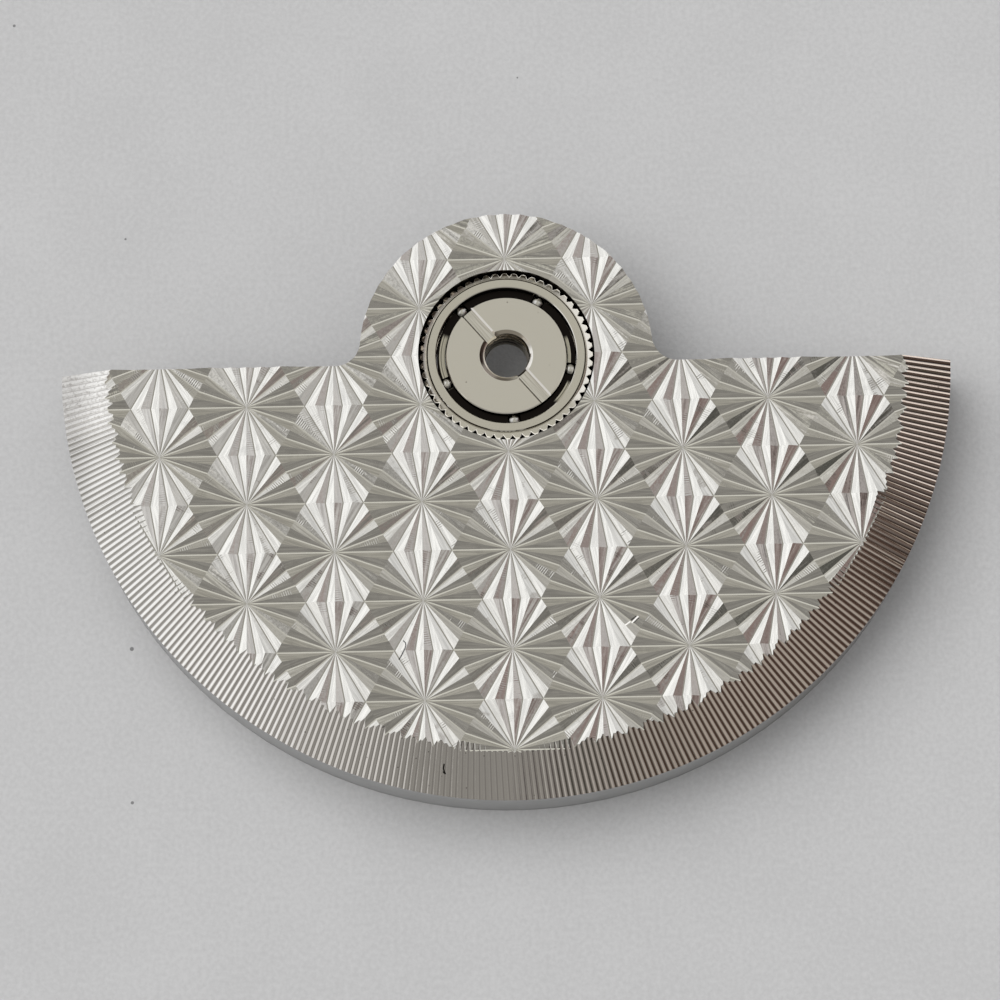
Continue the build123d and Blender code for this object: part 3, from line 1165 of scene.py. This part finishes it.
@dataclass(frozen=True)
class Toothing:
    """A row of straight-sided teeth round a ring."""

    count: int
    root_radius: float
    tip_radius: float
    foot_share: float
    tip_share: float
    bevel: float

    def outline(self) -> list[Point]:
        """Lay out the teeth.

        Returns:
            Their corners, four to a tooth.
        """
        corners = [
            (-self.foot_share, self.root_radius),
            (-self.tip_share, self.tip_radius),
            (self.tip_share, self.tip_radius),
            (self.foot_share, self.root_radius),
        ]
        points = []
        for tooth in range(self.count):
            for share, radius in corners:
                angle = (tooth + share / 2) * 2 * math.pi / self.count
                points.append((radius * math.cos(angle), radius * math.sin(angle)))
        return points

    def add_ring(self, mesh: bmesh.types.BMesh, inner: float, low: float, high: float) -> None:
        """Add a toothed ring whose top is bevelled outside.

        Args:
            mesh: The mesh to add it to.
            inner: The radius of its plain inside.
            low: Its lower level.
            high: Its upper level.
        """

        def loop(level: float, inset: float) -> list[bmesh.types.BMVert]:
            """Add the outline's corners.

            Args:
                level: Their level.
                inset: How far they are moved inwards.

            Returns:
                The corners.
            """
            corners = []
            for x, y in self.outline():
                reach = math.hypot(x, y)
                share = max(inner, reach - inset) / reach
                corners.append(mesh.verts.new((x * share, y * share, level)))
            return corners

        inside = self.tip_radius
        loops = [loop(low, inside), loop(low, 0.0), loop(high - self.bevel, 0.0), loop(high, self.bevel)]
        loops.append(loop(high, inside))
        join_loops(mesh, [*loops, loops[0]])


def add_trough(mesh: bmesh.types.BMesh, section: list[Point], reach: float, angle: float) -> None:
    """Add a straight bar along a line through the middle, for cutting a slot.

    Args:
        mesh: The mesh to add it to.
        section: Its closed section as place across and level.
        reach: Half its length.
        angle: The direction of its length.
    """
    ends = []
    for end in (-reach, reach):
        corners = []
        for across, level in section:
            x = end * math.cos(angle) - across * math.sin(angle)
            y = end * math.sin(angle) + across * math.cos(angle)
            corners.append(mesh.verts.new((x, y, level)))
        ends.append(corners)
    join_loops(mesh, ends)
    for corners in ends:
        mesh.faces.new(corners)


# The pieces


@dataclass
class Weight:
    """The engraved half-disc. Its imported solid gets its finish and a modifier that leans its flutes."""

    nodes: dict[str, bpy.types.Object]
    face_level: float = 1.05

    def dress(self) -> None:
        """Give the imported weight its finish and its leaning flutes."""
        weight = self.nodes["oscillating_weight"]
        finish = EngravedNickel()
        weight.data.materials.clear()
        weight.data.materials.append(finish.material(self.face_level))
        finish.rim.flute_lean.bend(weight)
        LOG.info("weight dressed")


@dataclass
class Bearing:
    """The ball bearing: outer ring, hub, lower inner ring, cage and balls."""

    nodes: dict[str, bpy.types.Object]
    steps: int = 288
    bore_radius: float = 1.955
    hub_radius: float = 1.685
    hub_bevel: float = 0.025
    cone_bevel: float = 0.02
    neck_radius: float = 2.215
    race_reach: float = 0.306
    race_half_height: float = 0.296
    pitch_radius: float = 1.82
    ball_level: float = 0.57
    ball_radius: float = 0.25
    ball_count: int = 5
    ball_fineness: int = 5
    clean_lit_share: float = 0.88
    clean_lit_fade: float = 0.12
    neck_bevel: float = 0.035
    bore_bevel: float = 0.02
    line_depth: float = 0.012
    line_drops: tuple[float, ...] = (0.125, 0.11, 0.09, 0.075)
    collar_foot: float = 0.45
    collar_height: float = 0.48
    notch_depth: float = 0.12
    knurl: Toothing = Toothing(
        count=56, root_radius=2.30, tip_radius=2.405, foot_share=0.98, tip_share=0.36, bevel=0.026
    )
    knurl_overlap: float = 0.05
    teeth: Toothing = Toothing(
        count=48, root_radius=2.73, tip_radius=2.99, foot_share=0.60, tip_share=0.26, bevel=0.02
    )
    teeth_inset: float = 0.02
    shaft_radius: float = 1.146
    thread_radius: float = 0.60
    thread_depth: float = 0.06
    thread_pitch: float = 0.25
    thread_rows: int = 64
    thread_fade: float = 0.04
    thread_slack: float = 0.02
    mouth_bevel: float = 0.085
    mouth_slope: float = math.radians(37)
    mouth_slack: float = 0.005
    top_slack: float = 0.004
    edge_slope: float = math.radians(42)
    slot_width: float = 0.30
    slot_depth: float = 0.15
    slot_bevel: float = 0.05
    slot_angle: float = math.radians(130)
    cutter_rise: float = 0.05
    cutter_reach: float = 0.2

    def build(self) -> None:
        """Make and dress every piece of the bearing."""
        collar_top = self.collar_foot + self.collar_height
        knurled = KnurledNickel(
            neck_radius=self.neck_radius,
            collar_top=collar_top,
            notch_level=collar_top - self.notch_depth,
        )
        self.outer_ring(knurled.material())
        _, hub_top = self.level_span("bearing_core")
        slotted = SlottedNickel(
            slot_angle=self.slot_angle,
            slot_level=hub_top - self.slot_depth / 2,
            hole_radius=self.thread_radius + self.thread_depth + self.thread_slack,
            hole_level=hub_top - self.mouth_bevel * math.tan(self.mouth_slope) - self.mouth_slack,
            mouth_level=hub_top - self.top_slack,
            thread_pitch=self.thread_pitch,
        )
        self.core(slotted.material())
        self.inner_ring(PolishedNickel().material("inner_ring_nickel"))
        self.cage()
        self.balls()

    def level_span(self, node: str) -> tuple[float, float]:
        """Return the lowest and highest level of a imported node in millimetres."""
        low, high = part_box(node)
        return low.z / MM, high.z / MM

    def outer_ring(self, metal: bpy.types.Material) -> None:
        """Make the outer race with its knurled collar and toothed flange.

        Args:
            metal: Its finish.
        """
        foot, top = self.level_span("bearing_outer_ring")
        neck, bore, line = self.neck_radius, self.bore_radius, self.line_depth
        apex = self.pitch_radius + self.race_reach
        line_foot, line_low, line_high, line_top = (top - drop for drop in self.line_drops)
        profile = [
            (bore, foot),
            (neck, foot),
            (neck, line_foot),
            (neck - line, line_low),
            (neck - line, line_high),
            (neck, line_top),
            (neck, top - self.neck_bevel),
            (neck - self.neck_bevel, top),
            (bore + self.bore_bevel, top),
            (bore, top - self.bore_bevel),
            (bore, self.ball_level + self.race_half_height),
            (apex, self.ball_level),
            (bore, self.ball_level - self.race_half_height),
        ]
        mesh = bmesh.new()
        spin(mesh, profile, self.steps)
        collar_top = self.collar_foot + self.collar_height
        self.knurl.add_ring(mesh, neck - self.knurl_overlap, self.collar_foot, collar_top)
        self.teeth.add_ring(mesh, bore + self.teeth_inset, foot, self.collar_foot)
        piece = finish_mesh("outer_ring_fine", mesh, metal)
        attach(piece, "rotor")
        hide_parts("bearing_outer_ring")
        LOG.info("outer ring made")

    def core(self, metal: bpy.types.Material) -> None:
        """Make the slotted and threaded hub.

        Args:
            metal: Its finish.
        """
        foot, top = self.level_span("bearing_core")
        hub, shaft, bore = self.hub_radius, self.shaft_radius, self.thread_radius
        apex = self.pitch_radius - self.race_reach
        mouth = top - self.mouth_bevel * math.tan(self.mouth_slope)
        rows = self.thread_rows
        wall = [(bore, mouth - (mouth - foot) * row / rows) for row in range(1, rows + 1)]
        profile = [
            (shaft, foot),
            (shaft, self.ball_level),
            (apex, self.ball_level),
            (hub, self.ball_level + self.race_half_height),
            (hub, top - self.hub_bevel),
            (hub - self.hub_bevel, top),
            (bore + self.thread_depth + self.mouth_bevel, top),
            (bore + self.thread_depth, mouth),
            *wall,
        ]

        def thread(radius: float, level: float, angle: float) -> float:
            """Work out the depth of the thread at a point of the hub's section.

            Args:
                radius: The point's radius, of which only the hole's wall has a thread.
                level: The point's level.
                angle: The angle round the axis.

            Returns:
                The depth, which fades out at the foot.
            """
            if radius > bore:
                return 0.0
            phase = (level / self.thread_pitch - angle / (2 * math.pi)) % 1.0
            fade = max(0.0, min(1.0, (level - foot) / self.thread_fade))
            return self.thread_depth * fade * (1 - abs(2 * phase - 1))

        mesh = bmesh.new()
        spin(mesh, profile, self.steps, thread)
        piece = finish_mesh("hub_fine", mesh, metal)
        self.cut_slot(piece, top)
        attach(piece, "hub")
        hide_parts("bearing_core")
        LOG.info("hub made")

    def cut_slot(self, piece: bpy.types.Object, top: float) -> None:
        """Cut the driver slot with its bevelled edges across the hub.

        Args:
            piece: The hub.
            top: The level of its top.
        """
        half, over = self.slot_width / 2, self.cutter_rise
        drop = self.slot_bevel * math.tan(self.edge_slope)
        out = half + self.slot_bevel + over / math.tan(self.edge_slope)
        right = [(half, top - self.slot_depth), (half, top - drop), (out, top + over)]
        section = [*right, *((-across, level) for across, level in reversed(right))]
        mesh = bmesh.new()
        add_trough(mesh, section, self.hub_radius + self.cutter_reach, self.slot_angle)
        cutter = finish_mesh("slot_cutter", mesh, piece.data.materials[0])
        cut = piece.modifiers.new("slot", "BOOLEAN")
        cut.operation, cut.solver, cut.object = "DIFFERENCE", "EXACT", cutter
        graph = bpy.context.evaluated_depsgraph_get()
        result = bmesh.new()
        result.from_mesh(piece.evaluated_get(graph).data)
        piece.modifiers.clear()
        store(result, piece.data)
        bpy.data.objects.remove(cutter)

    def inner_ring(self, metal: bpy.types.Material) -> None:
        """Make the lower inner ring.

        Args:
            metal: Its finish.
        """
        foot, top = self.level_span("bearing_cone")
        apex = self.pitch_radius - self.race_reach
        profile = [
            (self.shaft_radius, foot),
            (self.hub_radius - self.cone_bevel, foot),
            (self.hub_radius, foot + self.cone_bevel),
            (self.hub_radius, self.ball_level - self.race_half_height),
            (apex, top),
            (self.shaft_radius, top),
        ]
        mesh = bmesh.new()
        spin(mesh, profile, self.steps)
        piece = finish_mesh("inner_ring_fine", mesh, metal)
        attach(piece, "hub")
        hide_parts("bearing_cone")
        LOG.info("lower inner ring made")

    def cage(self) -> None:
        """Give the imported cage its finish."""
        data = self.nodes["ball_cage"].data
        data.materials.clear()
        data.materials.append(OiledBrassWithPaintedShade().material())
        LOG.info("cage dressed")

    def balls(self) -> None:
        """Make the polished balls."""
        clean_lit_level = self.ball_level + self.clean_lit_share * self.ball_radius
        metal = OiledSteelWithPaintedShade(clean_lit_level, fade=self.clean_lit_fade * self.ball_radius).material()
        for number in range(1, self.ball_count + 1):
            node = f"ball_{number}"
            low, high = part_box(node)
            mesh = bmesh.new()
            bmesh.ops.create_icosphere(mesh, subdivisions=self.ball_fineness, radius=self.ball_radius)
            bmesh.ops.translate(mesh, vec=(low + high) / (2 * MM), verts=mesh.verts)
            piece = finish_mesh(f"{node}_polished", mesh, metal)
            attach(piece, node)
            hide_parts(node)
        LOG.info("balls made")


# Floor, light, camera


@dataclass(frozen=True)
class Card:
    """One panel of the studio, as a soft rectangle of directions."""

    azimuth: float
    elevation: float
    half_width: float
    half_height: float
    softness: float
    colour: Colour

    def mask(self, direction: Sock) -> Sock:
        """Return where the panel is seen.

        Args:
            direction: The direction looked in.

        Returns:
            1 on the panel and 0 off it.
        """
        turn, lift = math.radians(self.azimuth), math.radians(self.elevation)
        centre = Vector((math.cos(turn) * math.cos(lift), math.sin(turn) * math.cos(lift), math.sin(lift)))
        right = Vector((-math.sin(turn), math.cos(turn), 0.0))
        up = centre.cross(right)
        ahead = direction.dot(tuple(centre)).most(0.001)
        inside = direction.dot(tuple(centre)).above(0.0)
        for axis, half in ((right, self.half_width), (up, self.half_height)):
            off = abs(direction.dot(tuple(axis))) / ahead
            inside = inside * (1 - off.rise(half - self.softness, half + self.softness))
        return inside


@dataclass(frozen=True)
class Studio:
    """The plain room of soft panels that metal shows, and the one soft lamp that lights the rest."""

    front: Colour = (0.34, 0.33, 0.31)
    back: Colour = (0.38, 0.365, 0.325)
    pale: Colour = (0.533, 0.533, 0.533)
    fill: Colour = (0.436, 0.436, 0.436)
    key: Card = Card(155, 55, 0.7, 0.5, 0.25, (2.295, 2.295, 2.295))
    cards: tuple[Card, ...] = (
        Card(205, 41, 0.26, 0.48, 0.15, (0.70, 0.685, 0.66)),
        Card(185, 4, 0.60, 0.25, 0.10, (1.0, 1.0, 1.0)),
        Card(-67, 68.6, 0.785, 0.358, 0.03, (0.262, 0.252, 0.232)),
        Card(-40, 36, 0.30, 0.20, 0.10, (0.10, 0.09, 0.085)),
        Card(90, 77, 0.389, 0.639, 0.034, (0.545, 0.532, 0.473)),
        Card(5.7, 44.9, 0.361, 0.493, 0.042, (0.244, 0.179, 0.165)),
        Card(2, 19.3, 0.62, 0.40, 0.05, (0.050, 0.034, 0.027)),
        Card(6.5, 60.8, 0.294, 0.123, 0.085, (0.52, 0.51, 0.495)),
        Card(39.3, 52.6, 0.255, 0.266, 0.24, (0.70, 0.688, 0.684)),
        Card(-26.3, 41.1, 0.07, 0.322, 0.084, (0.060, 0.063, 0.053)),
        Card(43.3, 21.7, 0.078, 1.376, 0.015, (0.776, 0.775, 0.774)),
        Card(153.7, 33.6, 0.516, 0.706, 0.24, (1.01, 1.01, 1.01)),
        Card(57, 8, 0.24, 0.42, 0.05, (0.85, 0.83, 0.81)),
    )

    def light(self) -> None:
        """Write the world: panels for what shines, the lamp for what is dull, grey for the camera."""
        world = bpy.data.worlds.new("studio")
        bpy.context.scene.world = world
        world.use_nodes = True
        g = Graph(world.node_tree)
        direction = g.node("ShaderNodeTexCoord", output="Generated")
        _, depth, _ = direction.parts()
        panels = g.mix(depth.rise(-0.2, 0.6), self.front, self.back)
        for card in self.cards:
            panels = g.mix(card.mask(direction), panels, card.colour)
        lamp = g.mix(self.key.mask(direction), self.fill, self.key.colour)
        seen = g.node("ShaderNodeLightPath", output="Is Camera Ray")
        glossy = g.node("ShaderNodeLightPath", output="Is Glossy Ray")
        colour = g.mix(seen, g.mix(glossy, lamp, panels), self.pale)
        background = g.node("ShaderNodeBackground", {"Color": colour, "Strength": 1.0})
        g.raw("ShaderNodeOutputWorld", {"Surface": background})
        LOG.info("light made with %d panels", len(self.cards))


@dataclass(frozen=True)
class Floor:
    """The sheet under the part."""

    half_size: float = 1000.0

    def lay(self, level: float) -> None:
        """Lay the sheet.

        Args:
            level: The level of the part's lowest point in millimetres.
        """
        mesh = bmesh.new()
        bmesh.ops.create_grid(mesh, x_segments=1, y_segments=1, size=self.half_size)
        bmesh.ops.translate(mesh, vec=(0, 0, level), verts=mesh.verts)
        finish_mesh("floor", mesh, Paper().material())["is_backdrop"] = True
        LOG.info("floor laid")


@dataclass(frozen=True)
class View:
    """The photograph's camera, by the point it looks at."""

    aim: tuple[float, float, float] = (-0.258, -4.163, 1.05)
    distance: float = 90.60
    azimuth: float = math.radians(88.595)
    elevation: float = math.radians(-76.075)
    roll: float = math.radians(0.265)
    lens: float = 118.77
    clip: Pair = (1.0, 5000.0)

    def shoot(self) -> None:
        """Set up the camera."""
        data = bpy.data.cameras.new("camera")
        data.lens = self.lens
        data.clip_start, data.clip_end = (limit * MM for limit in self.clip)
        camera = bpy.data.objects.new("camera", data)
        level = math.cos(self.elevation)
        east, north = math.cos(self.azimuth) * level, math.sin(self.azimuth) * level
        ahead = Vector((east, north, math.sin(self.elevation)))
        camera.location = (Vector(self.aim) - ahead * self.distance) * MM
        camera.rotation_mode = "QUATERNION"
        camera.rotation_quaternion = ahead.to_track_quat("-Z", "Y") @ Quaternion((0, 0, 1), self.roll)
        bpy.context.scene.collection.objects.link(camera)
        bpy.context.scene.camera = camera
        LOG.info("camera placed")


def main() -> None:
    """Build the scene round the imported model."""
    logging.basicConfig(level=logging.INFO, format="%(name)s: %(message)s")
    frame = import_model()
    solid_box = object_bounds()
    bpy.context.scene.view_settings.view_transform = "Standard"
    Weight(frame["nodes"]).dress()
    Bearing(frame["nodes"]).build()
    Floor().lay(solid_box[0].z / MM)
    Studio().light()
    View().shoot()


if __name__ == "__main__":
    main()
